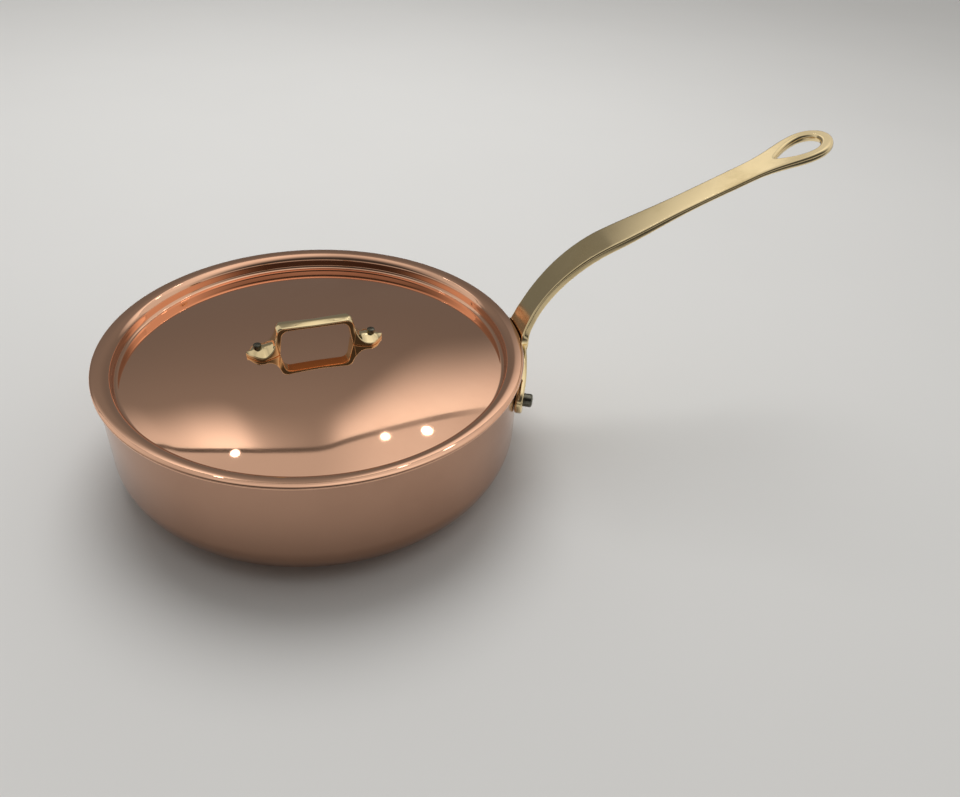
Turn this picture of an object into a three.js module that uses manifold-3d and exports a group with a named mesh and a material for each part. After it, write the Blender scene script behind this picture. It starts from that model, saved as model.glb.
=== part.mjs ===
// A round copper saute pan with a riveted brass handle, and its lid.
// Millimetres, +Z up. The origin is the middle of the base's underside, and +X runs out along the handle.

import * as THREE from 'three';
import { mergeVertices } from 'three/addons/utils/BufferGeometryUtils.js';
import Module from 'manifold-3d';

// Driving dimensions: pan
const PAN_R = 122.5;             // outside of the straight wall
const PAN_HEIGHT = 71.7;         // base to rim
const PAN_COPPER = 2.0;          // copper sheet
const PAN_LINING = 0.5;          // bonded steel lining
const BASE_FILLET = 24;          // outside round between base and wall
const RIM_ROUND = 0.7;           // softened outer edge of the rim

// Driving dimensions: lid
const LID_OVERHANG = 2.5;        // flange past the pan's wall
const LID_COPPER = 1.6;
const LID_LINING = 0.4;
const PLUG_CLEARANCE = 3.9;      // lid's plug wall to the pan's inside
const SHOULDER_ROUND = 4.5;      // flange to plug wall, on the top side
const GROOVE_ROUND = 2.2;        // plug wall to dome, on the top side
const FLANGE_ROUND = 1.3;        // top of the flange's outer edge
const DOME_R = 760;              // sphere of the dome
const DOME_DROP = 1.2;           // middle of the dome below the flange's top
const LID_TURN = 5.5;            // degrees, lid handle's direction from the pan handle's

// Driving dimensions: pan handle
const PLATE_T = 4.6;             // winged plate that hugs the wall
const WING_RIVET_SPAN = 102;     // between the two upper rivets, straight across
const WING_RIVET_DROP = 17.2;    // upper rivets below the rim
const LOBE_R = 7.5;              // round end of each wing
const TONGUE_R = 9;              // round lower end of the plate
const TONGUE_MARGIN = 1.5;       // tongue's end above the base fillet
const LOBE_FROM = 70;            // degrees, where the wing's top edge runs into its round end
const LOBE_TO = -100;            // degrees, where the round end runs into the wing's lower edge
const TONGUE_FROM = 25;          // degrees, where the wing's lower edge runs into the tongue's end
const SHOULDER_HALF = 17;        // half of the plate's level top edge
const LEAVE_DROP = 8.7;          // bar's inner face leaves the wall this far below the rim
const LEAN = 73;                 // degrees, bar above level where it passes the rim
const LEAN_LENGTH = 8.5;         // straight stretch before the bend
const BEND_R = 98;               // upper face of the bend
const RISE = 24.2;               // degrees, shank above level
const SHANK_LENGTH = 130.6;      // end of the bend to the middle of the eye
const BEND_T = 4.8;              // bar's thickness through the bend
const SHANK_T = 3.1;             // thinnest, along the shank
const EYE_T = 5.0;               // at the eye
const FOOT_W = 29;               // bar's width at the wall
const NECK_W = 21.2;             // narrow stretch just above the rim
const KNUCKLE_W = 23.5;          // wide stretch at the end of the bend
const SHANK_W = 19.3;
const EYE_R = 16;                // outside of the hanging eye
const EYE_FLARE = 39.5;          // length over which the shank widens to the eye
const EYE_HOLE_R = 9;
const EYE_HOLE_POINT = 20;       // middle of the hole's round end to its point

// Driving dimensions: lid handle, a bridge on two pointed feet
const BRIDGE_HEIGHT = 17.3;      // top of the bar above the dome's middle
const BRIDGE_BAR_T = 2.9;
const BRIDGE_BAR_W = 8.4;
const BRIDGE_BAR_SPAN = 45.5;    // between the bar's outer corners
const BRIDGE_CORNER = 4.5;       // inside round under the bar
const BRIDGE_POST_T = 2.6;       // post where it meets the bar
const BRIDGE_POST_FOOT_T = 3.9;  // post where it meets the foot
const BRIDGE_SPLAY = 4.6;        // post's outer face moves out from bar to foot
const BRIDGE_SPAN = 81;          // between the points of the feet
const BRIDGE_FOOT_W = 18;
const BRIDGE_FOOT_T = 4.0;
const BRIDGE_FOOT_EDGE_T = 2.9;  // foot along its sides
const BRIDGE_RIVET_SPACING = 67.5;

// Driving dimensions: rivets
const PAN_RIVET_R = 3.0;         // shank
const PAN_STUB_R = 3.8;          // closed end on the handle's plate
const PAN_STUB_LENGTH = 4.7;
const PAN_RIVET_HEAD_R = 7;      // flat head inside the pan
const PAN_RIVET_HEAD_T = 1.7;
const LID_RIVET_R = 1.8;
const LID_STUB_R = 2.4;
const LID_STUB_LENGTH = 2.7;
const LID_RIVET_HEAD_R = 5;      // flat head under the lid
const LID_RIVET_HEAD_T = 1.4;
const STUB_CHAMFER = 0.8;

// Clearances
const SEAT_GAP = 0.3;            // between pieces that are fixed to or rest on each other
const BOND_GAP = 0.02;           // between copper and its lining
const HOLE_CLEARANCE = 0.3;      // around a rivet's shank, on the radius
const LID_CLEARANCE = 0.7;       // lid's flange to the handle that it lifts past

// How finely round shapes are divided
const TURN_STEPS = 56;
const RIVET_STEPS = 16;
const FILLET_STEPS = 6;
const DOME_STEPS = 4;
const ROUND_STEPS = 3;
const CURVE_STEPS = 6;
const SAME_POINT = 1e-5;          // points nearer than this are one

// Sizes and places worked out from the driving dimensions
const panInnerR = PAN_R - PAN_COPPER - PAN_LINING;
const lidR = PAN_R + LID_OVERHANG;
const flangeTop = PAN_HEIGHT + SEAT_GAP + LID_LINING + BOND_GAP + LID_COPPER;
const plugTopR = panInnerR - PLUG_CLEARANCE - LID_LINING - BOND_GAP - LID_COPPER;
const domeTop = flangeTop - DOME_DROP;
const domeCentre = domeTop - DOME_R;
const wallSeat = PAN_R + SEAT_GAP;
const plateOuterR = wallSeat + PLATE_T;
const wingRivetZ = PAN_HEIGHT - WING_RIVET_DROP;
const wingRivetY = WING_RIVET_SPAN / 2;
const tongueRivetZ = BASE_FILLET + TONGUE_MARGIN + TONGUE_R;
const bridgeRivetX = BRIDGE_RIVET_SPACING / 2;
const farAway = 2 * (PAN_R + PAN_HEIGHT + SHANK_LENGTH);

const wasm = await Module();
wasm.setup();

// Curve and solid helpers

const rad = THREE.MathUtils.degToRad;
const point = (x, y) => new THREE.Vector2(x, y);

function arc(cx, cy, radius, fromDeg, toDeg, steps) {
  const clockwise = toDeg < fromDeg;
  return new THREE.EllipseCurve(cx, cy, radius, radius, rad(fromDeg), rad(toDeg), clockwise).getPoints(steps);
}

const flipX = point(-1, 1);
const flipY = point(1, -1);

// A whole outline from the half that runs from the mirror line back to the mirror line.
function mirrored(half, flip) {
  const other = half.map((p) => p.clone().multiply(flip)).reverse();
  const whole = [...half, ...other];
  return new THREE.Shape(whole.filter((p, i) => p.distanceTo(whole.at(i - 1)) > SAME_POINT));
}

// The profile's first axis is the radius and its second is the height; it is turned about Z.
function turned(profile, steps = TURN_STEPS) {
  return new THREE.LatheGeometry(profile, steps).rotateX(Math.PI / 2);
}

// A closed ring or disc between two radii and two heights.
function ring(innerR, outerR, low, high) {
  return turned([
    point(innerR, low), point(outerR, low), point(outerR, high), point(innerR, high), point(innerR, low),
  ]);
}

// An outline in two named axes, extruded both ways along the third.
function slab(shape, halfDepth, xAxis, yAxis) {
  const geometry = new THREE.ExtrudeGeometry(shape, {
    depth: 2 * halfDepth, bevelEnabled: false, curveSegments: CURVE_STEPS,
  });
  const zAxis = new THREE.Vector3().crossVectors(xAxis, yAxis);
  geometry.translate(0, 0, -halfDepth);
  return geometry.applyMatrix4(new THREE.Matrix4().makeBasis(xAxis, yAxis, zAxis));
}

function solid(geometry) {
  const bare = geometry.clone();
  bare.deleteAttribute('normal');
  bare.deleteAttribute('uv');
  const merged = mergeVertices(bare, SAME_POINT);
  const corners = merged.index.array;
  const triVerts = [];
  for (let i = 0; i < corners.length; i += 3) {
    const [a, b, c] = corners.slice(i, i + 3);
    if (a !== b && b !== c && c !== a) triVerts.push(a, b, c);
  }
  const vertProperties = new Float32Array(merged.attributes.position.array);
  return new wasm.Manifold(new wasm.Mesh({ numProp: 3, vertProperties, triVerts: new Uint32Array(triVerts) }));
}

function geometryOf(manifold) {
  const mesh = manifold.getMesh();
  const geometry = new THREE.BufferGeometry();
  geometry.setAttribute('position', new THREE.BufferAttribute(new Float32Array(mesh.vertProperties), 3));
  geometry.setIndex(new THREE.BufferAttribute(new Uint32Array(mesh.triVerts), 1));
  geometry.computeVertexNormals();
  return geometry;
}

const alongX = new THREE.Vector3(1, 0, 0);
const alongY = new THREE.Vector3(0, 1, 0);
const alongZ = new THREE.Vector3(0, 0, 1);

// Where the three handle rivets sit: turned about Z by angle, at a height.
const wingAngle = Math.asin(wingRivetY / (wallSeat + PLATE_T / 2));
const handleRivetPlaces = [
  { name: 'handle_rivet_near', angle: -wingAngle, z: wingRivetZ },
  { name: 'handle_rivet_far', angle: wingAngle, z: wingRivetZ },
  { name: 'handle_rivet_low', angle: 0, z: tongueRivetZ },
];

// Drills for the handle's rivets, from inside the pan to past the plate.
const handleRivetDrills = handleRivetPlaces.map(({ angle, z }) => {
  const radius = PAN_RIVET_R + HOLE_CLEARANCE;
  const length = 4 * (plateOuterR - panInnerR);
  const drill = new THREE.CylinderGeometry(radius, radius, length, RIVET_STEPS).rotateZ(Math.PI / 2);
  return solid(drill.translate(PAN_R, 0, z).rotateZ(angle));
});

function drilled(body, drills) {
  return drills.reduce((left, drill) => left.subtract(drill), body);
}

// Pan: one deep-drawn copper shell, and the steel lining bonded inside it.

// The pan's surface at a depth into the wall, from the middle of the base up to the rim.
function panSurface(depth) {
  const radius = PAN_R - depth;
  const round = BASE_FILLET - depth;
  return [
    point(0, depth),
    ...arc(radius - round, BASE_FILLET, round, -90, 0, FILLET_STEPS),
  ];
}

function panBody() {
  const outside = [
    ...panSurface(0),
    ...arc(PAN_R - RIM_ROUND, PAN_HEIGHT - RIM_ROUND, RIM_ROUND, 0, 90, ROUND_STEPS),
  ];
  const inside = [...panSurface(PAN_COPPER), point(PAN_R - PAN_COPPER, PAN_HEIGHT)];
  const shell = turned([...outside, ...inside.reverse()]);
  return geometryOf(drilled(solid(shell), handleRivetDrills));
}

function panLining() {
  const outerDepth = PAN_COPPER + BOND_GAP;
  const innerDepth = PAN_COPPER + PAN_LINING;
  const outside = [...panSurface(outerDepth), point(PAN_R - outerDepth, PAN_HEIGHT)];
  const inside = [...panSurface(innerDepth), point(PAN_R - innerDepth, PAN_HEIGHT)];
  const shell = turned([...outside, ...inside.reverse()]);
  return geometryOf(drilled(solid(shell), handleRivetDrills));
}

// Pan handle: one casting. A winged plate follows the wall and takes three rivets; a flat bar stands up
// from it past the rim, bends over and runs out to a hanging eye with a teardrop hole.

// The bar's upper face in the XZ plane, as points with the direction of travel in degrees.
function barPath() {
  const spineStart = point(wallSeat, (tongueRivetZ + wingRivetZ) / 2);
  const leaves = point(wallSeat, PAN_HEIGHT - LEAVE_DROP);
  const lean = point(Math.cos(rad(LEAN)), Math.sin(rad(LEAN)));
  const bendStart = leaves.clone().addScaledVector(lean, LEAN_LENGTH);
  const bendCentre = bendStart.clone().add(point(lean.y, -lean.x).multiplyScalar(BEND_R));
  const bend = arc(bendCentre.x, bendCentre.y, BEND_R, LEAN + 90, RISE + 90, 2 * CURVE_STEPS);
  const bendAngle = (i) => LEAN + (RISE - LEAN) * i / (bend.length - 1);
  const knuckle = bend.at(-1);
  const shank = point(Math.cos(rad(RISE)), Math.sin(rad(RISE)));
  const reach = SHANK_LENGTH + EYE_R + EYE_T;
  const shankSteps = 2 * CURVE_STEPS;
  const stations = [
    { at: spineStart, angle: 90 },
    { at: leaves, angle: (90 + LEAN) / 2 },
    ...bend.map((at, i) => ({ at, angle: bendAngle(i) })),
  ];
  for (let i = 1; i <= shankSteps; i += 1) {
    stations.push({ at: knuckle.clone().addScaledVector(shank, reach * i / shankSteps), angle: RISE });
  }
  return { stations, leaves, bendStart, bendMiddle: bend[CURVE_STEPS], knuckle, shank };
}

const path = barPath();

// Distance out along the shank's direction, from the end of the bend.
const alongShank = (p) => p.clone().sub(path.knuckle).dot(path.shank);

function barThickness(p) {
  const u = alongShank(p);
  const foot = THREE.MathUtils.smoothstep(p.y, path.leaves.y, path.bendMiddle.y);
  const thinning = THREE.MathUtils.smoothstep(u, 0, SHANK_LENGTH / 2);
  const eye = THREE.MathUtils.smoothstep(u, SHANK_LENGTH - EYE_FLARE, SHANK_LENGTH);
  const base = THREE.MathUtils.lerp(PLATE_T, BEND_T, foot);
  return base + (SHANK_T - BEND_T) * thinning + (EYE_T - SHANK_T) * eye;
}

// The bar seen from the side, in X and Z.
function barSide() {
  const upper = path.stations.map(({ at }) => at);
  const lower = path.stations.map(({ at, angle }) => {
    const inward = point(Math.sin(rad(angle)), -Math.cos(rad(angle)));
    return at.clone().addScaledVector(inward, barThickness(at));
  });
  return new THREE.Shape([...upper, ...lower.reverse()]);
}

// The bar seen square to its shank: distance along the shank, then across.
function barPlan() {
  const footEnd = alongShank(path.stations[0].at) - PLATE_T;
  const neck = alongShank(path.bendStart.clone().lerp(path.bendMiddle, 1 / 2));
  const flareStart = SHANK_LENGTH - EYE_FLARE;
  const sides = new THREE.SplineCurve([
    point(footEnd, FOOT_W / 2),
    point(alongShank(path.leaves), (FOOT_W + KNUCKLE_W) / 4),
    point(neck, NECK_W / 2),
    point(0, KNUCKLE_W / 2),
    point(flareStart / 2, SHANK_W / 2),
    point(flareStart, SHANK_W / 2),
  ]);
  const flare = new THREE.CubicBezierCurve(
    point(flareStart, SHANK_W / 2),
    point(flareStart + EYE_FLARE / 2, SHANK_W / 2),
    point(SHANK_LENGTH - EYE_FLARE / 3, EYE_R),
    point(SHANK_LENGTH, EYE_R),
  );
  const outline = mirrored([
    point(footEnd, 0),
    ...sides.getPoints(4 * CURVE_STEPS),
    ...flare.getPoints(CURVE_STEPS),
    ...arc(SHANK_LENGTH, 0, EYE_R, 90, 0, CURVE_STEPS),
  ], flipY);
  outline.holes.push(eyeHole());
  return outline;
}

// A teardrop with its point towards the pan, drawn the other way round from the outline that it pierces.
function eyeHole() {
  const side = new THREE.QuadraticBezierCurve(
    point(SHANK_LENGTH - EYE_HOLE_POINT, 0),
    point(SHANK_LENGTH - EYE_HOLE_R, -EYE_HOLE_R),
    point(SHANK_LENGTH, -EYE_HOLE_R),
  );
  const end = arc(SHANK_LENGTH, 0, EYE_HOLE_R, -90, 0, CURVE_STEPS);
  return mirrored([...side.getPoints(CURVE_STEPS), ...end], flipY);
}

// The winged plate seen from along the handle, in Y and Z: two wings and a tongue.
function plateOutline() {
  const lobe = arc(wingRivetY, wingRivetZ, LOBE_R, LOBE_FROM, LOBE_TO, 2 * CURVE_STEPS);
  const tongue = arc(0, tongueRivetZ, TONGUE_R, TONGUE_FROM, -90, CURVE_STEPS);
  const shoulder = new THREE.CubicBezierCurve(
    point(SHOULDER_HALF, PAN_HEIGHT),
    point((SHOULDER_HALF + wingRivetY) / 2, PAN_HEIGHT),
    lobe[0].clone().add(point(-LOBE_R, LOBE_R * Math.tan(rad(90 - LOBE_FROM)))),
    lobe[0],
  );
  const waist = new THREE.QuadraticBezierCurve(
    lobe.at(-1),
    point(2 * TONGUE_R, wingRivetZ - LOBE_R),
    tongue[0],
  );
  const half = [
    point(0, PAN_HEIGHT),
    ...shoulder.getPoints(CURVE_STEPS),
    ...lobe,
    ...waist.getPoints(CURVE_STEPS),
    ...tongue,
  ];
  return mirrored(half, flipX);
}

function panHandle() {
  const across = new THREE.Vector3(path.shank.x, 0, path.shank.y);
  const plan = slab(barPlan(), farAway, across, alongY).translate(path.knuckle.x, 0, path.knuckle.y);
  const bar = solid(slab(barSide(), FOOT_W, alongX, alongZ)).intersect(solid(plan));
  const hoop = solid(ring(wallSeat, plateOuterR, 0, flangeTop));
  const winged = solid(slab(plateOutline(), plateOuterR, alongY, alongZ).translate(plateOuterR, 0, 0));
  const lidWay = solid(ring(0, lidR + LID_CLEARANCE, PAN_HEIGHT - LID_CLEARANCE, farAway));
  const casting = bar.add(hoop.intersect(winged)).subtract(lidWay);
  return geometryOf(drilled(casting, handleRivetDrills));
}

// Rivets: a flat head inside, a shank through the layers, and a plain cylindrical end outside.

// Along its axis from the head's seat, with the axis later laid where the rivet goes.
function rivet({ shankR, stubR, stubLength, headR, headT, grip }) {
  const headEdge = headT / 2;
  return turned([
    point(0, -headT),
    point(headR - headEdge, -headT),
    point(headR, -headEdge),
    point(headR, 0),
    point(shankR, 0),
    point(shankR, grip),
    point(stubR, grip),
    point(stubR, grip + stubLength - STUB_CHAMFER),
    point(stubR - STUB_CHAMFER, grip + stubLength),
    point(0, grip + stubLength),
  ], RIVET_STEPS);
}

// Distance from the axis at which a flat head clears a round wall that is made of flat facets.
const headSeat = Math.sqrt(panInnerR ** 2 - PAN_RIVET_HEAD_R ** 2) * Math.cos(Math.PI / TURN_STEPS) - SEAT_GAP;

function handleRivet({ angle, z }) {
  const geometry = rivet({
    shankR: PAN_RIVET_R,
    stubR: PAN_STUB_R,
    stubLength: PAN_STUB_LENGTH,
    headR: PAN_RIVET_HEAD_R,
    headT: PAN_RIVET_HEAD_T,
    grip: plateOuterR + SEAT_GAP - headSeat,
  });
  return geometry.rotateY(Math.PI / 2).translate(headSeat, 0, z).rotateZ(angle);
}

// Lid: one pressed copper disc. A flange rests on the pan's rim, a short plug wall drops inside it, and a
// shallow dome rises from the groove almost to the flange's level. Its underside is lined like the pan.

// The lid's surface at a depth under its top, from the middle of the dome out to the flange's flat.
function lidSurface(depth) {
  const sphere = DOME_R - depth;
  const plugR = plugTopR + depth;
  const groove = GROOVE_ROUND + depth;
  const shoulder = SHOULDER_ROUND - depth;
  const grooveR = plugTopR - GROOVE_ROUND;
  const tilt = THREE.MathUtils.radToDeg(Math.asin(grooveR / (DOME_R + GROOVE_ROUND)));
  const grooveZ = domeCentre + (DOME_R + GROOVE_ROUND) * Math.cos(rad(tilt));
  return [
    ...arc(0, domeCentre, sphere, 90, 90 - tilt, DOME_STEPS),
    ...arc(grooveR, grooveZ, groove, -90 - tilt, 0, ROUND_STEPS),
    ...arc(plugR + shoulder, flangeTop - depth - shoulder, shoulder, 180, 90, ROUND_STEPS),
  ];
}

// Drills for the lid's rivets, through the handle's feet and the dome.
const lidRivetDrills = [-1, 1].map((side) => {
  const radius = LID_RIVET_R + HOLE_CLEARANCE;
  const drill = new THREE.CylinderGeometry(radius, radius, 2 * BRIDGE_HEIGHT, RIVET_STEPS).rotateX(Math.PI / 2);
  return solid(drill.translate(side * bridgeRivetX, 0, domeTop));
});

function lidShell() {
  const top = [
    ...lidSurface(0),
    ...arc(lidR - FLANGE_ROUND, flangeTop - FLANGE_ROUND, FLANGE_ROUND, 90, 0, ROUND_STEPS),
  ];
  const under = [...lidSurface(LID_COPPER), point(lidR, flangeTop - LID_COPPER)];
  const shell = turned([...under, ...top.reverse()]);
  return geometryOf(drilled(solid(shell), lidRivetDrills));
}

function lidLining() {
  const topDepth = LID_COPPER + BOND_GAP;
  const underDepth = topDepth + LID_LINING;
  const top = [...lidSurface(topDepth), point(lidR, flangeTop - topDepth)];
  const under = [...lidSurface(underDepth), point(lidR, flangeTop - underDepth)];
  const shell = turned([...under, ...top.reverse()]);
  return geometryOf(drilled(solid(shell), lidRivetDrills));
}

// Lid handle: one casting. A bar on two splayed posts, each post spreading into a pointed foot on the dome.

const footTop = domeTop + BRIDGE_FOOT_T;
const barTop = domeTop + BRIDGE_HEIGHT;
const postOuterX = BRIDGE_BAR_SPAN / 2;
const footOuterX = postOuterX + BRIDGE_SPLAY;
const footInnerX = footOuterX - BRIDGE_POST_FOOT_T;
const bridgeTip = BRIDGE_SPAN / 2;
const sunk = domeTop - BRIDGE_HEIGHT;   // the outlines run down to here before the dome is cut away

// The bridge from its side, in X and Z.
function bridgeSide() {
  const barUnder = barTop - BRIDGE_BAR_T;
  const inner = postOuterX - BRIDGE_POST_T;
  const edge = BRIDGE_BAR_T / 2;
  return mirrored([
    point(0, barTop),
    ...arc(postOuterX - edge, barTop - edge, edge, 90, 0, ROUND_STEPS),
    point(footOuterX, footTop),
    point(bridgeRivetX + LID_STUB_R + SEAT_GAP, footTop),
    point(bridgeTip, domeTop),
    point(bridgeTip, sunk),
    point(footInnerX, sunk),
    point(footInnerX, domeTop),
    ...arc(inner - BRIDGE_CORNER, barUnder - BRIDGE_CORNER, BRIDGE_CORNER, 0, 90, ROUND_STEPS),
    point(0, barUnder),
  ], flipX);
}

// The bridge from above, in X and Y: the bar's even width, then a pointed leaf for each foot.
function bridgePlan() {
  const leafWide = (footOuterX + bridgeRivetX) / 2;
  const leaf = new THREE.SplineCurve([
    point(footInnerX, BRIDGE_BAR_W / 2),
    point(leafWide, BRIDGE_FOOT_W / 2),
    point(bridgeRivetX, BRIDGE_FOOT_W / 2 - LID_STUB_R),
    point(bridgeTip, 0),
  ]).getPoints(2 * CURVE_STEPS);
  const left = leaf.map((p) => p.clone().multiply(flipX)).reverse();
  return mirrored([...left, ...leaf], flipY);
}

// The bridge from its end, in Y and Z: upright foot, sloped flanks, then the bar's width.
function bridgeEnd() {
  return mirrored([
    point(0, sunk),
    point(BRIDGE_FOOT_W / 2, sunk),
    point(BRIDGE_FOOT_W / 2, domeTop + BRIDGE_FOOT_EDGE_T),
    point(BRIDGE_BAR_W / 2, (footTop + barTop) / 2),
    point(BRIDGE_BAR_W / 2, barTop + BRIDGE_BAR_T),
    point(0, barTop + BRIDGE_BAR_T),
  ], flipX);
}

function lidHandle() {
  const side = solid(slab(bridgeSide(), BRIDGE_SPAN, alongX, alongZ));
  const plan = solid(slab(bridgePlan(), farAway, alongX, alongY));
  const end = solid(slab(bridgeEnd(), BRIDGE_SPAN, alongY, alongZ));
  const domeSeat = lidSurface(-SEAT_GAP).slice(0, DOME_STEPS + 1);
  const below = domeTop - DOME_R / 2;
  const dome = [point(0, below), point(domeSeat.at(-1).x, below), ...domeSeat.reverse()];
  const bridge = side.intersect(plan).intersect(end).subtract(solid(turned(dome)));
  return geometryOf(drilled(bridge, lidRivetDrills));
}

function lidRivet(side) {
  const under = DOME_R - LID_COPPER - BOND_GAP - LID_LINING;
  const headFarR = bridgeRivetX + LID_RIVET_HEAD_R;
  const seat = domeCentre + Math.sqrt(under ** 2 - headFarR ** 2) - SEAT_GAP;
  const geometry = rivet({
    shankR: LID_RIVET_R,
    stubR: LID_STUB_R,
    stubLength: LID_STUB_LENGTH,
    headR: LID_RIVET_HEAD_R,
    headT: LID_RIVET_HEAD_T,
    grip: footTop + SEAT_GAP - seat,
  });
  return geometry.translate(side * bridgeRivetX, 0, seat);
}

// Finishes
const copper = { color: 0xc78663, roughness: 0.14, metalness: 1 };
const steel = { color: 0xc4c4c0, roughness: 0.3, metalness: 1 };
const brass = { color: 0xc9b377, roughness: 0.2, metalness: 1 };
const rivetSteel = { color: 0x77766a, roughness: 0.25, metalness: 1 };

function piece(name, geometry, finish) {
  const mesh = new THREE.Mesh(geometry, new THREE.MeshStandardMaterial(finish));
  mesh.name = name;
  return mesh;
}

const pan = new THREE.Group();
pan.add(piece('pan_body', panBody(), copper));
pan.add(piece('pan_lining', panLining(), steel));
pan.add(piece('pan_handle', panHandle(), brass));
for (const place of handleRivetPlaces) {
  pan.add(piece(place.name, handleRivet(place), rivetSteel));
}

const lid = new THREE.Group();
lid.rotation.z = rad(LID_TURN);
lid.add(piece('lid_shell', lidShell(), copper));
lid.add(piece('lid_lining', lidLining(), steel));
lid.add(piece('lid_handle', lidHandle(), brass));
lid.add(piece('lid_rivet_inner', lidRivet(1), rivetSteel));
lid.add(piece('lid_rivet_outer', lidRivet(-1), rivetSteel));

const sautePan = new THREE.Group();
sautePan.add(pan, lid);

export default sautePan;
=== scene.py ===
import math

import bmesh
import bpy
import numpy as np
from mathutils import Matrix, Vector
from mathutils.geometry import delaunay_2d_cdt


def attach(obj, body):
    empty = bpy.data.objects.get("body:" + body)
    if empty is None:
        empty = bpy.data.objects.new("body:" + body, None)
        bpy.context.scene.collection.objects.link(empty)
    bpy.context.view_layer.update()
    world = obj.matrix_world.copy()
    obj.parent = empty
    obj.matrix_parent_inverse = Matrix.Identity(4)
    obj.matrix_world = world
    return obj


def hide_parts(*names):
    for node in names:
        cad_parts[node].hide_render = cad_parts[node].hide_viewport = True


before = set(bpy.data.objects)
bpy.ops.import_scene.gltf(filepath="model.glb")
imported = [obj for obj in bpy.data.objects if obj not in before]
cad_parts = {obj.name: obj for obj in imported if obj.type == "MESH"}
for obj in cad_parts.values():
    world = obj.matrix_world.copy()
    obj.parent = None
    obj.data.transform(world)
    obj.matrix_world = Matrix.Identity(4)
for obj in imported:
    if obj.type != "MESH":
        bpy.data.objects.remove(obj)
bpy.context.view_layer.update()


# Pan body. One disc of sheet copper, drawn and spun into a straight-sided pan with a rounded base edge.
# Its outside is buffed while the pan turns, so the fine polishing lines run round it.

MM = 0.001                       # the pieces' sizes are in millimetres
PAN_R = 122.5                    # outside of the straight wall
PAN_HEIGHT = 71.7
PAN_COPPER = 2.0                 # thickness of the sheet
BASE_FILLET = 24.0               # outside round between base and wall
RIM_ROUND = 0.7
JOIN = 0.2                       # a straight stretch stops this far short of the round beside it
STRAIGHT_POINTS = 12             # along the base and up the wall
TURN_STEPS = 320                 # round a turned piece
SHARP_EDGE = math.radians(38)    # faces that meet at more than this show an edge
WELD = 0.0001                    # points closer than this are made one
# Painted shade: the pan's copper is coloured much darker than the lid's, so that its side looks as dim as the
# shaded floor and room it mirrors.
PAN_SHADED_BRIGHT = (0.51, 0.303, 0.208, 1)
PAN_SHADED_DULL = (0.45, 0.262, 0.178, 1)
NOISE_GRAIN = 0.6                # strength of the finer levels of each noise
LINE_WANDER = 0.0012             # metres that a polishing line may wander in one radian
BROAD_SHARE = 0.12               # number of broad streaks for each fine line
STREAK_RANGE = (0.3, 0.7)        # part of the noise that shows as streaks
HAZE_START = 0.85                # level of the noise where haze starts, less the cover
HAZE_FADE = 0.35
HAZE_WEAR = 0.6                  # how much haze and streaks roughen a turned piece
STREAK_WEAR = 0.4


def arc(cx, cy, radius, start, end, steps):
    """Points round part of a circle, from one angle to another in degrees."""
    angles = np.radians(np.linspace(start, end, steps + 1))
    return [(cx + radius * math.cos(a), cy + radius * math.sin(a)) for a in angles]


def put(name, data):
    """A new object in the scene."""
    thing = bpy.data.objects.new(name, data)
    bpy.context.collection.objects.link(thing)
    return thing


def mesh_piece(name, points, faces):
    """An object from points in millimetres, with its faces outward and its rounds shaded smooth."""
    mesh = bpy.data.meshes.new(name)
    mesh.from_pydata([[MM * c for c in p] for p in points], [], faces)
    shell = bmesh.new()
    shell.from_mesh(mesh)
    bmesh.ops.remove_doubles(shell, verts=shell.verts, dist=WELD * MM)
    bmesh.ops.recalc_face_normals(shell, faces=shell.faces)
    shell.to_mesh(mesh)
    shell.free()
    mesh.shade_smooth()
    mesh.set_sharp_from_angle(angle=SHARP_EDGE)
    return put(name, mesh)


def turned(name, profile, steps=TURN_STEPS):
    """A closed profile of radius and height, turned about Z; it starts and ends on the axis or on itself."""
    points, rings, faces = [], [], []
    for radius, height in profile:
        count = steps if radius > WELD else 1
        rings.append(range(len(points), len(points) + count))
        angles = 2 * np.pi * np.arange(count) / count
        points += [(radius * math.cos(a), radius * math.sin(a), height) for a in angles]
    for low, high in zip(rings, rings[1:] + rings[:1]):
        if len(low) == len(high) == 1:
            continue
        for i in range(steps):
            j = (i + 1) % steps
            corners = [low[i % len(low)], low[j % len(low)], high[j % len(high)], high[i % len(high)]]
            faces.append(list(dict.fromkeys(corners)))
    return mesh_piece(name, points, faces)


def pan_surface(depth):
    """The pan's surface at a depth into its sheet, from the middle of the base to near the rim."""
    base = [(r, depth) for r in np.linspace(0, PAN_R - BASE_FILLET - JOIN, STRAIGHT_POINTS)]
    fillet = arc(PAN_R - BASE_FILLET, BASE_FILLET, BASE_FILLET - depth, -90, 0, steps=28)
    wall_heights = np.linspace(BASE_FILLET + JOIN, PAN_HEIGHT - 2 * RIM_ROUND, STRAIGHT_POINTS)
    return base + fillet + [(PAN_R - depth, z) for z in wall_heights]


def new_group(name, inputs, outputs):
    """An empty node group with float inputs and their usual values, and float outputs."""
    group = bpy.data.node_groups.new(name, "ShaderNodeTree")
    for socket, value in inputs.items():
        made = group.interface.new_socket(socket, in_out="INPUT", socket_type="NodeSocketFloat")
        made.default_value = value
    for socket in outputs:
        group.interface.new_socket(socket, in_out="OUTPUT", socket_type="NodeSocketFloat")
    return group, group.nodes.new("NodeGroupInput"), group.nodes.new("NodeGroupOutput")


def object_place(tree):
    """The place on the object, in metres."""
    return tree.nodes.new("ShaderNodeTexCoord").outputs["Object"]


def split_place(tree, place):
    """The three parts of a place or a direction."""
    split = tree.nodes.new("ShaderNodeSeparateXYZ")
    tree.links.new(place, split.inputs[0])
    return split.outputs


def set_socket(tree, socket, value):
    """Sets a socket to a number, or links it to another node's socket."""
    if isinstance(value, (int, float)):
        socket.default_value = value
    else:
        tree.links.new(value, socket)


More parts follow.
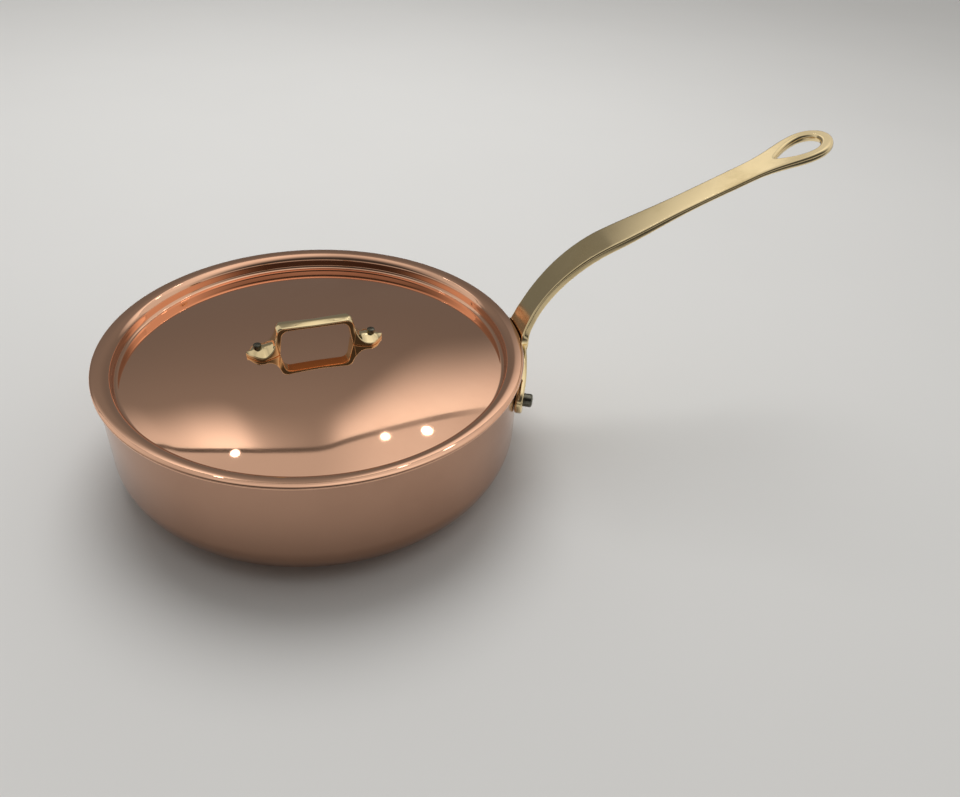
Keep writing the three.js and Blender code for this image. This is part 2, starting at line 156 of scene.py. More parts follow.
def math_node(tree, operation, *values):
    """A maths node whose inputs are numbers or other nodes' sockets; gives its output socket."""
    node = tree.nodes.new("ShaderNodeMath")
    node.operation = operation
    for socket, value in zip(node.inputs, values):
        set_socket(tree, socket, value)
    return node.outputs[0]


def noise_node(tree, vector, scale, detail):
    """A noise texture over a vector; gives its value from 0 to 1."""
    node = tree.nodes.new("ShaderNodeTexNoise")
    node.inputs["Detail"].default_value = detail
    node.inputs["Roughness"].default_value = NOISE_GRAIN
    set_socket(tree, node.inputs["Scale"], scale)
    tree.links.new(vector, node.inputs["Vector"])
    return node.outputs["Fac"]


def spread(tree, value, low, high, to_low, to_high):
    """Maps a value smoothly from one range to another."""
    node = tree.nodes.new("ShaderNodeMapRange")
    node.interpolation_type = "SMOOTHSTEP"
    for socket, number in zip(("From Min", "From Max", "To Min", "To Max"), (low, high, to_low, to_high)):
        set_socket(tree, node.inputs[socket], number)
    tree.links.new(value, node.inputs["Value"])
    return node.outputs["Result"]


# Lines left by polishing a turning piece: they run round the axis and vary with radius and height.
lathe_lines, given, put_out = new_group("lathe_lines", {"Lines per metre": 900.0}, ["Height", "Streak"])
across, along, upward = split_place(lathe_lines, object_place(lathe_lines))
squares = [math_node(lathe_lines, "POWER", part, 2.0) for part in (across, along)]
from_axis = math_node(lathe_lines, "SQRT", math_node(lathe_lines, "ADD", *squares))
wander = math_node(lathe_lines, "MULTIPLY", math_node(lathe_lines, "ARCTAN2", along, across), LINE_WANDER)
line_place = lathe_lines.nodes.new("ShaderNodeCombineXYZ")
for socket, part in zip(line_place.inputs, (from_axis, upward, wander)):
    lathe_lines.links.new(part, socket)
fine_lines = noise_node(lathe_lines, line_place.outputs[0], given.outputs["Lines per metre"], detail=3)
broad_scale = math_node(lathe_lines, "MULTIPLY", given.outputs["Lines per metre"], BROAD_SHARE)
broad_lines = noise_node(lathe_lines, line_place.outputs[0], broad_scale, detail=2)
lathe_lines.links.new(math_node(lathe_lines, "ADD", fine_lines, broad_lines), put_out.inputs["Height"])
lathe_lines.links.new(spread(lathe_lines, broad_lines, *STREAK_RANGE, 0.0, 1.0), put_out.inputs["Streak"])

# The faint cloudy film that handling and air leave on polished metal.
handling_haze, given, put_out = new_group("handling_haze", {"Patches per metre": 14.0, "Cover": 0.5}, ["Haze"])
patches = noise_node(handling_haze, object_place(handling_haze), given.outputs["Patches per metre"], detail=5)
haze_start = math_node(handling_haze, "SUBTRACT", HAZE_START, given.outputs["Cover"])
haze_full = math_node(handling_haze, "ADD", haze_start, HAZE_FADE)
handling_haze.links.new(spread(handling_haze, patches, haze_start, haze_full, 0.0, 1.0), put_out.inputs["Haze"])


def two_colours(tree, shader, factor, first, second):
    """Mixes two colours by a factor into the shader's base colour."""
    mix = tree.nodes.new("ShaderNodeMix")
    mix.data_type = "RGBA"
    mix.inputs["A"].default_value = first
    mix.inputs["B"].default_value = second
    tree.links.new(factor, mix.inputs["Factor"])
    tree.links.new(mix.outputs["Result"], shader.inputs["Base Color"])


def metal_finish(name, bright, dull, haze_patches, haze_cover):
    """A bare metal whose haze group mixes its bright and dull colour; gives material, tree, shader and haze."""
    material = bpy.data.materials.new(name)
    material.use_nodes = True
    tree = material.node_tree
    shader = tree.nodes["Principled BSDF"]
    shader.inputs["Metallic"].default_value = 1.0
    film = tree.nodes.new("ShaderNodeGroup")
    film.node_tree = handling_haze
    film.inputs["Patches per metre"].default_value = haze_patches
    film.inputs["Cover"].default_value = haze_cover
    two_colours(tree, shader, film.outputs["Haze"], bright, dull)
    return material, tree, shader, film.outputs["Haze"]


def polish(tree, shader, wear, lines, smooth, rough, line_depth):
    """Roughness from the wear, and a very fine relief from the lines, whose depth is in millimetres."""
    tree.links.new(spread(tree, wear, 0.0, 1.0, smooth, rough), shader.inputs["Roughness"])
    bump = tree.nodes.new("ShaderNodeBump")
    bump.inputs["Strength"].default_value = 1.0
    bump.inputs["Distance"].default_value = line_depth * MM
    tree.links.new(lines, bump.inputs["Height"])
    tree.links.new(bump.outputs["Normal"], shader.inputs["Normal"])


def turned_finish(name, bright, dull, haze_patches, haze_cover, lines_per_metre, smooth, rough, line_depth):
    """A metal finish polished while the piece turned."""
    material, tree, shader, haze = metal_finish(name, bright, dull, haze_patches, haze_cover)
    lathe = tree.nodes.new("ShaderNodeGroup")
    lathe.node_tree = lathe_lines
    lathe.inputs["Lines per metre"].default_value = lines_per_metre
    worn = math_node(tree, "ADD", math_node(tree, "MULTIPLY", haze, HAZE_WEAR),
                     math_node(tree, "MULTIPLY", lathe.outputs["Streak"], STREAK_WEAR))
    polish(tree, shader, worn, lathe.outputs["Height"], smooth, rough, line_depth)
    return material


pan_rim = arc(PAN_R - RIM_ROUND, PAN_HEIGHT - RIM_ROUND, RIM_ROUND, 0, 90, steps=6)
pan_profile = pan_surface(0) + pan_rim + [(PAN_R - PAN_COPPER, PAN_HEIGHT)] + pan_surface(PAN_COPPER)[::-1]
pan_body = turned("pan_copper_body", pan_profile)
# The pan's copper takes the darkened colours above: painted shade on top of its haze.
pan_body.data.materials.append(turned_finish(
    "pan_copper", PAN_SHADED_BRIGHT, PAN_SHADED_DULL, haze_patches=9, haze_cover=0.42, lines_per_metre=1100,
    smooth=0.14, rough=0.22, line_depth=0.0006))
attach(pan_body, "pan")
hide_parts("pan_body")


# Pan lining. A thin skin of stainless steel, bonded to the copper before the pan is drawn.
# It covers the whole inside up to the rim and is left with a fine satin grain.

PAN_LINING = 0.5                 # from the copper to the inside of the pan
BOND_GAP = 0.02
STEEL_BRIGHT = (0.62, 0.61, 0.585, 1)
STEEL_DULL = (0.52, 0.51, 0.485, 1)

lining_outside = pan_surface(PAN_COPPER + BOND_GAP) + [(PAN_R - PAN_COPPER - BOND_GAP, PAN_HEIGHT)]
lining_inside = pan_surface(PAN_COPPER + PAN_LINING) + [(PAN_R - PAN_COPPER - PAN_LINING, PAN_HEIGHT)]
pan_lining = turned("pan_steel_lining", lining_outside + lining_inside[::-1])
lining_steel = turned_finish(
    "lining_steel", STEEL_BRIGHT, STEEL_DULL, haze_patches=12, haze_cover=0.4, lines_per_metre=1400,
    smooth=0.26, rough=0.36, line_depth=0.006)
pan_lining.data.materials.append(lining_steel)
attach(pan_lining, "pan")
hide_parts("pan_lining")


# Pan handle. One brass casting, filed and polished all over. A winged plate follows the wall and takes three
# rivets; a flat bar stands up from it past the rim, bends over and runs out to an eye for hanging.

SEAT_GAP = 0.3
WALL_SEAT = PAN_R + SEAT_GAP     # inside of the plate
PLATE_T = 4.6
ROOT_T = 1.5                     # added where the bar leaves the plate, fading out
ROOT_ACROSS = (12, 36)           # sideways,
ROOT_BELOW = (42, 62)            # downward
ROOT_ABOVE = (64, 80)            # and upward
BEND_T = 4.8
SHANK_T = 3.1
EYE_T = 5.0
LEAVE_Z = 63.0                   # bar leaves the wall
LEAN = 73.0                      # degrees above level where the bar passes the rim
LEAN_ROUND = 24.0                # easy round where it leaves the wall
LEAN_LENGTH = 8.5
BEND_R = 98.0
RISE = 24.2                      # degrees above level along the shank
SHANK_LENGTH = 130.6             # end of the bend to the middle of the eye
LINE_STEP = 0.1                  # between the points of the bar's line
TONGUE_Z = 34.5
TONGUE_R = 9.0
TONGUE_TURN = 25                 # degrees above level where the tongue's round ends
WING_Z = 54.5
WING_Y = 51.6                    # along the wall from the handle's middle line
LOBE_R = 8.4
LOBE_TURN = (-100, 70)           # degrees between which the wing's end is round
LOBE_RISE = 0.36                 # slope of the wing's top edge where it leaves the lobe
WING_TOP_HALF = 20.5             # half width where the wing's top edge sweeps up into the bar
WING_TOP_Z = PAN_HEIGHT - 2.9
SWEEP_HALF = 11.9                # bar's half width where the sweep ends
SWEEP_RISE = 9.0
SWEEP_LEAVE = (0.62, 1.0)        # pull on the sweep's start: share of the half width there, and height
SWEEP_MEET = (0.6, 0.45)         # pull on its end: width beyond the bar, and share of the rise
NECK_HALF = 10.6
KNUCKLE_HALF = 11.75
SHANK_HALF = 9.65
EYE_R = 16.0
EYE_FLARE = 39.5                 # length over which the shank widens to the eye
EYE_HOLE_R = 9.0
EYE_HOLE_POINT = 20.0            # middle of the eye to the hole's point
EYE_HOLE_TIP_R = 1.2
TIP_JOIN = 0.1                   # the hole's side starts this much wider than its rounded tip
RIVET_HOLE_R = 3.3
CROWN = 0.04                     # polished top of the bar stands this proud along its middle
CROWN_EASE = 20                  # the crown grows and fades over this length,
CROWN_PAST = 10                  # and ends this far into the eye's flare
EDGE_ROUND = 1.3
EYE_EDGE_ROUND = 2.1             # the eye is worked rounder, to hang easily
EDGE_STEPS = 5                   # in the round of an edge
EDGE_ROW = 0.3                   # a row of points follows the rounded edges this far inside
CASTING_GRID = 1.6               # distance between the points of the mesh
GRID_CLEAR = 0.6                 # share of that which they keep clear of the row
CLOSEST = 1e-6                   # points nearer than this count as one there
LEAST_POINTS = 20                # in an outline or round a hole
WING_ACROSS = (12, 21)           # the wings start to follow the wall between these half widths,
WING_TOPS = (68, 82)             # and leave off between these heights
BAR_FLAT = (54, 70)              # heights over which the plate's round goes over into the flat bar
LID_WAY_R = 125.7                # the handle keeps this clear above the rim for the lid,
LID_WAY_FROM = 60                # from this height up,
LID_WAY_RISE = (61, 70)          # easing out to it here
BRASS_BRIGHT = (0.93, 0.745, 0.43, 1)
BRASS_DULL = (0.77, 0.60, 0.315, 1)
WHEEL_LINES = (12, 700, 500)     # lines per metre along, across and through the bar


def smoothstep(value, low, high):
    """0 below low, 1 above high, and an easy curve between."""
    t = np.clip((np.asarray(value, float) - low) / (high - low), 0, 1)
    return t * t * (3 - 2 * t)


def bezier(*controls, steps=18):
    """Points along a Bezier curve."""
    t = np.linspace(0, 1, steps + 1)[:, None]
    points = [np.array(p, float) for p in controls]
    while len(points) > 1:
        points = [a + (b - a) * t for a, b in zip(points, points[1:])]
    return [tuple(p) for p in points[0]]


def flowing(points, steps=14):
    """A smooth curve through points."""
    p = np.array(points, float)
    p = np.vstack([2 * p[0] - p[1], p, 2 * p[-1] - p[-2]])
    curve = []
    for a, b, c, d in zip(p, p[1:], p[2:], p[3:]):
        curve += bezier(b, b + (c - a) / 6, c - (d - b) / 6, c, steps=steps)[:-1]
    return curve + [tuple(p[-2])]


def spaced(line, count):
    """A number of points evenly along an open line."""
    line = np.array(line, float)
    along = np.concatenate([[0], np.cumsum(np.linalg.norm(np.diff(line, axis=0), axis=1))])
    stops = np.linspace(0, along[-1], count)
    return np.column_stack([np.interp(stops, along, line[:, k]) for k in (0, 1)])


def evenly(loop, step):
    """A closed loop's points, spaced evenly along it, about a step apart."""
    closed = np.array(loop + loop[:1], float)
    length = np.sum(np.linalg.norm(np.diff(closed, axis=0), axis=1))
    return spaced(closed, max(LEAST_POINTS, round(length / step)) + 1)[:-1]


def inside(points, loops):
    """Which points lie in the material between an outline and its holes."""
    x, y = points.T
    crossings = np.zeros(len(points), int)
    for loop in loops:
        for (ax, ay), (bx, by) in zip(loop, np.roll(loop, -1, axis=0)):
            if ay != by:
                crossings += ((ay > y) != (by > y)) & (x < ax + (y - ay) * (bx - ax) / (by - ay))
    return crossings % 2 == 1


def casting(name, outline, holes, thickness, crown, rounding, shape):
    """A plate with rounded edges and holes, drawn flat, then bent to shape.

    Outline and holes are in flat places (across, along). thickness, crown and rounding give the plate's depth,
    the swell of its upper face and the round of its edges there, and shape turns places and depths into points.
    """
    loops = [evenly(outline, CASTING_GRID)] + [evenly(hole, CASTING_GRID / 2) for hole in holes]
    for k, loop in enumerate(loops):
        x, y = loop.T
        turns_left = np.sum(x * np.roll(y, -1) - y * np.roll(x, -1)) > 0
        if turns_left == (k > 0):
            loops[k] = loop[::-1]
    inward = []
    for loop in loops:
        tangent = np.roll(loop, -1, axis=0) - np.roll(loop, 1, axis=0)
        normal = np.column_stack([-tangent[:, 1], tangent[:, 0]])
        inward.append(normal / np.linalg.norm(normal, axis=1)[:, None])

    # The flat upper face: its edge, a row of points just inside that, and a grid between.
    edge_rounds = [rounding(loop)[:, None] for loop in loops]
    face_edges = [loop + r * n for loop, n, r in zip(loops, inward, edge_rounds)]
    edge_rows = np.vstack([loop + (r + EDGE_ROW) * n for loop, n, r in zip(loops, inward, edge_rounds)])
    edge_points = np.vstack(face_edges)
    edge_count = len(edge_points)
    lowest, highest = edge_points.min(axis=0), edge_points.max(axis=0)
    spans = [np.arange(low, high, CASTING_GRID) for low, high in zip(lowest, highest)]
    grid = np.stack(np.meshgrid(*spans), -1).reshape(-1, 2)
    grid = grid[inside(grid, face_edges)]
    apart = np.array([np.min(np.hypot(*(edge_points - p).T)) for p in grid])
    field = np.vstack([edge_rows, grid[apart > EDGE_ROW + GRID_CLEAR * CASTING_GRID]])

    edges, first = [], 0
    for loop in loops:
        ring = list(range(first, first + len(loop)))
        edges += list(zip(ring, ring[1:] + ring[:1]))
        first += len(loop)
    flat = np.vstack([edge_points, field])
    found = delaunay_2d_cdt([Vector(p) for p in flat], edges, [], 0, CLOSEST)
    source = [origins[0] for origins in found[3]]
    triangles = np.array([[source[i] for i in face] for face in found[2]])
    triangles = triangles[inside(flat[triangles].mean(axis=1), face_edges)]

    # The rounded edge, ring by ring from the upper face down to the under one.
    rounds = np.radians(np.linspace(0, 90, EDGE_STEPS + 1))
    base = np.vstack(loops)
    normals = np.vstack(inward)
    edge_round = np.vstack(edge_rounds)
    rings = []
    for step, angle in enumerate(np.concatenate([rounds, rounds[::-1]])):
        ring = base + edge_round * (1 - math.sin(angle)) * normals
        sunk = edge_round[:, 0] * (1 - math.cos(angle))
        rings.append(shape(ring, sunk if step < len(rounds) else thickness(ring) - sunk))
    upper = shape(field, -crown(field))
    under = shape(field, thickness(field))

    points = np.vstack(rings + [upper, under])
    last_ring = (len(rings) - 1) * edge_count
    upper_start = len(rings) * edge_count
    under_start = upper_start + len(field)
    faces = [[i if i < edge_count else upper_start + i - edge_count for i in t] for t in triangles]
    faces += [[last_ring + i if i < edge_count else under_start + i - edge_count for i in t[::-1]]
              for t in triangles]
    for k in range(len(rings) - 1):
        a, b = k * edge_count, (k + 1) * edge_count
        faces += [[a + i, b + i, b + j, a + j] for i, j in edges]
    return mesh_piece(name, points, faces)


# The line of the bar's upper face, as distance along it with its slope: up the wall, out, over the bend, along.
lean_turn = math.radians(90 - LEAN)
lean_cut = LEAN_ROUND * math.tan(lean_turn / 2)
wall_end = LEAVE_Z - lean_cut
lean_start = wall_end + LEAN_ROUND * lean_turn
bend_start = lean_start + LEAN_LENGTH - lean_cut
bend_end = bend_start + BEND_R * math.radians(LEAN - RISE)
eye_at = bend_end + SHANK_LENGTH
bar_end = eye_at + 2 * EYE_R
bar_along = np.arange(0, bar_end, LINE_STEP)
bar_slope = np.radians(np.interp(
    bar_along, [wall_end, lean_start, bend_start, bend_end], [90, LEAN, LEAN, RISE]))
bar_x = WALL_SEAT + LINE_STEP * (np.cumsum(np.cos(bar_slope)) - np.cos(bar_slope[0]))
bar_z = LINE_STEP * (np.cumsum(np.sin(bar_slope)) - np.sin(bar_slope[0]))

# One half of the flat outline, from the tongue's foot up to the eye's end, and then the other half.
flare_start = eye_at - EYE_FLARE
sweep_start = (WING_TOP_HALF, WING_TOP_Z)
sweep_end = (SWEEP_HALF, WING_TOP_Z + SWEEP_RISE)
tongue = arc(0, TONGUE_Z, TONGUE_R, -90, TONGUE_TURN, steps=14)
lobe = arc(WING_Y, WING_Z, LOBE_R, *LOBE_TURN, steps=20)
waist = bezier(tongue[-1], (2 * TONGUE_R, WING_Z - LOBE_R), lobe[0])
wing_top = bezier(lobe[-1], (lobe[-1][0] - LOBE_R, lobe[-1][1] + LOBE_RISE * LOBE_R),
                  ((WING_Y + WING_TOP_HALF) / 2, WING_TOP_Z), sweep_start)
sweep = bezier(sweep_start, (SWEEP_LEAVE[0] * WING_TOP_HALF, WING_TOP_Z + SWEEP_LEAVE[1]),
               (SWEEP_HALF + SWEEP_MEET[0], WING_TOP_Z + SWEEP_MEET[1] * SWEEP_RISE),
               sweep_end, steps=30)
bar_sides = flowing([
    sweep_end,
    (NECK_HALF, (2 * bend_start + bend_end) / 3),
    (KNUCKLE_HALF, bend_end),
    (SHANK_HALF, (bend_end + flare_start) / 2),
    (SHANK_HALF, flare_start),
])
flare = bezier((SHANK_HALF, flare_start), (SHANK_HALF, flare_start + EYE_FLARE / 2),
               (EYE_R, eye_at - EYE_FLARE / 3), (EYE_R, eye_at))
eye_end = arc(0, eye_at, EYE_R, 0, 90, steps=16)
near_half = tongue[:1]
for stretch in (tongue, waist, lobe, wing_top, sweep, bar_sides, flare, eye_end):
    near_half += stretch[1:]
handle_outline = near_half + [(-y, s) for y, s in near_half[-2:0:-1]]

hole_side = bezier((0, eye_at - EYE_HOLE_POINT), (EYE_HOLE_R, eye_at - EYE_HOLE_R), (EYE_HOLE_R, eye_at),
                   steps=40)
tip_half_angle = math.atan2(EYE_HOLE_R, EYE_HOLE_POINT - EYE_HOLE_R)
tip_centre = eye_at - EYE_HOLE_POINT + EYE_HOLE_TIP_R / math.sin(tip_half_angle)
tip = arc(0, tip_centre, EYE_HOLE_TIP_R, -90, -math.degrees(tip_half_angle), steps=4)
hole_round = arc(0, eye_at, EYE_HOLE_R, 0, 90, steps=12)
hole_half = tip + [p for p in hole_side if p[0] > tip[-1][0] + TIP_JOIN] + hole_round[1:]
eye_hole = hole_half + [(-y, s) for y, s in hole_half[-2:0:-1]]
rivet_places = ((WING_Y, WING_Z), (-WING_Y, WING_Z), (0, TONGUE_Z))
rivet_holes = [arc(y, z, RIVET_HOLE_R, 0, 360, steps=24)[:-1] for y, z in rivet_places]


def handle_thickness(flat):
    """Depth of the handle at its flat places."""
    y, s = flat.T
    root = 1 - smoothstep(np.abs(y), *ROOT_ACROSS)
    root *= smoothstep(s, *ROOT_BELOW) * (1 - smoothstep(s, *ROOT_ABOVE))
    bend = smoothstep(s, LEAVE_Z, (bend_start + bend_end) / 2)
    shank = smoothstep(s, bend_end, bend_end + SHANK_LENGTH / 2)
    eye = smoothstep(s, flare_start, eye_at)
    depth = PLATE_T + ROOT_T * root + (BEND_T - PLATE_T) * bend
    return depth + (SHANK_T - BEND_T) * shank + (EYE_T - SHANK_T) * eye


def handle_crown(flat):
    """Swell of the bar's upper face, which the polishing wheel leaves fullest along the middle."""
    y, s = flat.T
    half = np.interp(s, [p[1] for p in bar_sides], [p[0] for p in bar_sides])
    stretch = smoothstep(s, bend_start, bend_start + CROWN_EASE)
    stretch *= 1 - smoothstep(s, flare_start - CROWN_EASE, flare_start + CROWN_PAST)
    return CROWN * stretch * np.clip(1 - (y / half) ** 2, 0, 1)


def handle_rounding(flat):
    """Round of the handle's edges."""
    return EDGE_ROUND + (EYE_EDGE_ROUND - EDGE_ROUND) * smoothstep(flat[:, 1], flare_start, eye_at)


def handle_shape(flat, depth):
    """Bends the flat handle: the plate round the wall, the bar up along its line."""
    y, s = flat.T
    slope = np.interp(s, bar_along, bar_slope)
    bar = np.column_stack([
        np.interp(s, bar_along, bar_x) + depth * np.sin(slope),
        y,
        np.interp(s, bar_along, bar_z) - depth * np.cos(slope),
    ])
    angle = y / WALL_SEAT
    plate = np.column_stack([(WALL_SEAT + depth) * np.cos(angle), (WALL_SEAT + depth) * np.sin(angle), s])
    wing = smoothstep(np.abs(y), *WING_ACROSS) * (1 - smoothstep(s, *WING_TOPS))
    flatness = smoothstep(s, *BAR_FLAT) * (1 - wing)
    points = plate + flatness[:, None] * (bar - plate)
    height = points[:, 2]
    lid_way = WALL_SEAT + (LID_WAY_R - WALL_SEAT) * smoothstep(height, *LID_WAY_RISE)
    least = np.where(height > LID_WAY_FROM, lid_way, 0)
    points[:, :2] *= np.maximum(1, least / np.hypot(points[:, 0], points[:, 1]))[:, None]
    return points


pan_handle = casting("pan_brass_handle", handle_outline, [eye_hole] + rivet_holes,
                     handle_thickness, handle_crown, handle_rounding, handle_shape)


# Lines left by the polishing wheel: they run lengthwise along the casting and are broken and uneven.
wheel_lines, given, put_out = new_group("wheel_lines", {"Fineness": 1.0}, ["Height"])
wheel = wheel_lines.nodes.new("ShaderNodeMapping")
wheel.inputs["Rotation"].default_value = (0, math.radians(RISE), 0)
wheel.inputs["Scale"].default_value = WHEEL_LINES
wheel_lines.links.new(object_place(wheel_lines), wheel.inputs["Vector"])
uneven = noise_node(wheel_lines, wheel.outputs[0], given.outputs["Fineness"], detail=3)
wheel_lines.links.new(uneven, put_out.inputs["Height"])


def brass_finish(name, smooth, rough, line_depth):
    """Cast brass, polished on a wheel."""
    material, tree, shader, haze = metal_finish(
        name, BRASS_BRIGHT, BRASS_DULL, haze_patches=22, haze_cover=0.38)
    lines = tree.nodes.new("ShaderNodeGroup")
    lines.node_tree = wheel_lines
    polish(tree, shader, haze, lines.outputs["Height"], smooth, rough, line_depth)
    return material


pan_handle.data.materials.append(brass_finish("cast_brass", smooth=0.13, rough=0.24, line_depth=0.004))
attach(pan_handle, "pan")
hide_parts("pan_handle")


# Handle rivets. Three thick steel rivets hold the plate to the wall, with wide flat heads inside the pan.
# Outside, each ends in a plain stub, its edge only just eased; its steel is painted dark, as painted shade for
# the dim room it mirrors.

PAN_RIVET_R = 3.0
PAN_STUB_R = 4.0
PAN_STUB_LENGTH = 5.5
STUB_SINK = 0.1                  # the stub is driven this far into the brass
STUB_EASE = 0.3                  # round of the stub's edge, as a share of its radius
STUB_ROUND_TO = 78               # degrees at which that round goes over into the end
STUB_SWELL = 0.08                # swell of its end, likewise,
STUB_SWELL_R = 0.7               # which would come to nothing at this share of the radius
STUB_RINGS = (0.6, 0.45, 0.3, 0.15, 0)
PAN_HEAD_R = 7.0
PAN_HEAD_T = 1.7
HEAD_ROUND_TO = -4               # degrees at which a head's round stops, just short of its seat
HEAD_SEAT = 119.9                # distance of the head's seat from the pan's axis
WING_RIVET_Y = 51.0              # straight across from the handle's middle line
RIVET_STEPS = 56
# Painted shade: the polished rivet steel is coloured nearly black, like the dim room it mirrors.
RIVET_SHADED_BRIGHT = (0.20, 0.192, 0.15, 1)
RIVET_SHADED_DULL = (0.11, 0.105, 0.08, 1)
RIVET_PITS = 900                 # per metre


def rivet(name, shank_r, stub_r, stub_length, head_r, head_t, grip):
    """A rivet along Z from the seat of its head: flat round head, shank, and a stub with an eased edge."""
    ease = STUB_EASE * stub_r
    swell = STUB_SWELL * stub_r
    brow = grip + stub_length - swell
    head = [(0, -head_t)] + arc(head_r - head_t, 0, head_t, -90, HEAD_ROUND_TO, steps=8) + [(head_r, 0)]
    stub = [(shank_r, 0), (shank_r, grip), (stub_r, grip), (stub_r, brow - ease - JOIN / 2)]
    stub += arc(stub_r - ease, brow - ease, ease, 0, STUB_ROUND_TO, steps=7)
    stub += [(r * stub_r, brow + swell * (1 - (r / STUB_SWELL_R) ** 2)) for r in STUB_RINGS]
    return turned(name, head + stub, RIVET_STEPS)


# The rivets' metal takes these darkened colours: painted shade on top of its haze.
rivet_metal, tree, shader, rivet_haze = metal_finish(
    "rivet_metal", RIVET_SHADED_BRIGHT, RIVET_SHADED_DULL, haze_patches=260, haze_cover=0.5)
pits = noise_node(tree, object_place(tree), RIVET_PITS, detail=4)
polish(tree, shader, rivet_haze, pits, smooth=0.2, rough=0.34, line_depth=0.02)

wing_turn = math.asin(WING_RIVET_Y / (WALL_SEAT + PLATE_T / 2))
for node, turn, height in (
    ("handle_rivet_near", -wing_turn, WING_Z),
    ("handle_rivet_far", wing_turn, WING_Z),
    ("handle_rivet_low", 0, TONGUE_Z),
):
    grip = WALL_SEAT + PLATE_T - STUB_SINK - HEAD_SEAT
    piece = rivet(node + "_steel", PAN_RIVET_R, PAN_STUB_R, PAN_STUB_LENGTH, PAN_HEAD_R, PAN_HEAD_T, grip)
    lie_out = Matrix.Translation((HEAD_SEAT * MM, 0, height * MM)) @ Matrix.Rotation(math.pi / 2, 4, "Y")
    piece.data.transform(Matrix.Rotation(turn, 4, "Z") @ lie_out)
    piece.data.materials.append(rivet_metal)
    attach(piece, "pan")
    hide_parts(node)


# Lid. One disc of sheet copper pressed over a former: a flange that rests on the rim, a short plug wall,
# a groove, and a shallow dome. Its top is buffed to a mirror while it turns.

LID_R = 125.0
LID_COPPER = 1.6
FLANGE_TOP = 73.95
FLANGE_BENDS = ((123.1, 7), (124.4, 28), (LID_R, 90))    # radius and fall in degrees where each bend ends
LIP_R = 124.1                    # the edge hangs a little below the flange from here out
LIP_DROP = 0.5
LIP_ROUND = 0.3
PLUG_R = 114.08                  # plug wall, on the top side
SHOULDER_ROUND = 7.0             # wide round from the flange, down to SHOULDER_TURN degrees,
SHOULDER_TURN = 45
SHOULDER_LOW_ROUND = 3.5         # and a tighter one from there to the plug wall
GROOVE_ROUND = 2.2
DOME_R = 760.0
DOME_TOP = 72.82
DOME_CENTRE = DOME_TOP - DOME_R
DOME_SHARE = 0.997               # the dome's points stop this share of the way to the groove
LID_JOIN = 0.15                  # between the shoulder's round and the flange's first point
LID_BRIGHT = (0.92, 0.545, 0.365, 1)
LID_DULL = (0.80, 0.44, 0.285, 1)

shoulder_turn = math.radians(SHOULDER_TURN)
round_change = SHOULDER_ROUND - SHOULDER_LOW_ROUND
shoulder_r = PLUG_R + SHOULDER_LOW_ROUND + round_change * math.sin(shoulder_turn)
shoulder_z = FLANGE_TOP - SHOULDER_ROUND


def lid_surface(depth):
    """The lid's surface at a depth under its top, from the middle of the dome out onto the flange."""
    groove_r = PLUG_R - GROOVE_ROUND
    tilt = math.asin(groove_r / (DOME_R + GROOVE_ROUND))
    groove_z = DOME_CENTRE + (DOME_R + GROOVE_ROUND) * math.cos(tilt)
    tilt = math.degrees(tilt)
    low_r = PLUG_R + SHOULDER_LOW_ROUND
    low_z = shoulder_z + round_change * math.cos(shoulder_turn)
    dome = arc(0, DOME_CENTRE, DOME_R - depth, 90, 90 - DOME_SHARE * tilt, steps=40)
    groove = arc(groove_r, groove_z, GROOVE_ROUND + depth, -90 - tilt, 0, steps=14)
    wall = [(PLUG_R + depth, groove_z + JOIN / 2), (PLUG_R + depth, low_z - JOIN / 2)]
    turn_out = arc(low_r, low_z, SHOULDER_LOW_ROUND - depth, 180, 90 + SHOULDER_TURN, steps=8)
    turn_out += arc(shoulder_r, shoulder_z, SHOULDER_ROUND - depth, 90 + SHOULDER_TURN, 90, steps=10)[1:]
    return dome + groove + wall + turn_out + [(shoulder_r + LID_JOIN, FLANGE_TOP - depth)]


flange_edge = [(shoulder_r + 2 * LID_JOIN, FLANGE_TOP)]
fall = 0
for bend_r, bend_fall in FLANGE_BENDS:
    start_r, start_z = flange_edge[-1]
    bend = (bend_r - start_r) / (math.sin(math.radians(bend_fall)) - math.sin(math.radians(fall)))
    centre_r = start_r - bend * math.sin(math.radians(fall))
    centre_z = start_z - bend * math.cos(math.radians(fall))
    flange_edge += arc(centre_r, centre_z, bend, 90 - fall, 90 - bend_fall, steps=8)[1:]
    fall = bend_fall
lip_z = FLANGE_TOP - LID_COPPER - LIP_DROP
flange_edge += arc(LID_R - LIP_ROUND, lip_z + LIP_ROUND, LIP_ROUND, 0, -90, steps=4)
flange_edge += [(LIP_R, lip_z), (LIP_R - LIP_DROP, FLANGE_TOP - LID_COPPER)]
lid_shell = turned("lid_copper_shell", lid_surface(0) + flange_edge + lid_surface(LID_COPPER)[::-1])
lid_shell.data.materials.append(turned_finish(
    "lid_copper", LID_BRIGHT, LID_DULL, haze_patches=8, haze_cover=0.36, lines_per_metre=1000,
    smooth=0.035, rough=0.075, line_depth=0.0006))
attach(lid_shell, "lid")
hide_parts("lid_shell")


# Lid lining. The same bonded stainless steel as in the pan, under the whole of the lid.
# It stops just inside the flange's edge, which the press leaves as bare copper.

LID_LINING = 0.4
LID_LINING_R = LID_R - 1.4

lid_lining_faces = []
for depth in (LID_COPPER + BOND_GAP, LID_COPPER + BOND_GAP + LID_LINING):
    lid_lining_faces.append(lid_surface(depth) + [(LID_LINING_R, FLANGE_TOP - depth)])
lid_lining = turned("lid_steel_lining", lid_lining_faces[0] + lid_lining_faces[1][::-1])
lid_lining.data.materials.append(lining_steel)
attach(lid_lining, "lid")
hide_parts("lid_lining")


# Lid handle. One small brass casting: a level bar on two posts that splay and spread into pointed leaf-shaped
# feet. The feet are filed to the dome and held by one rivet each.

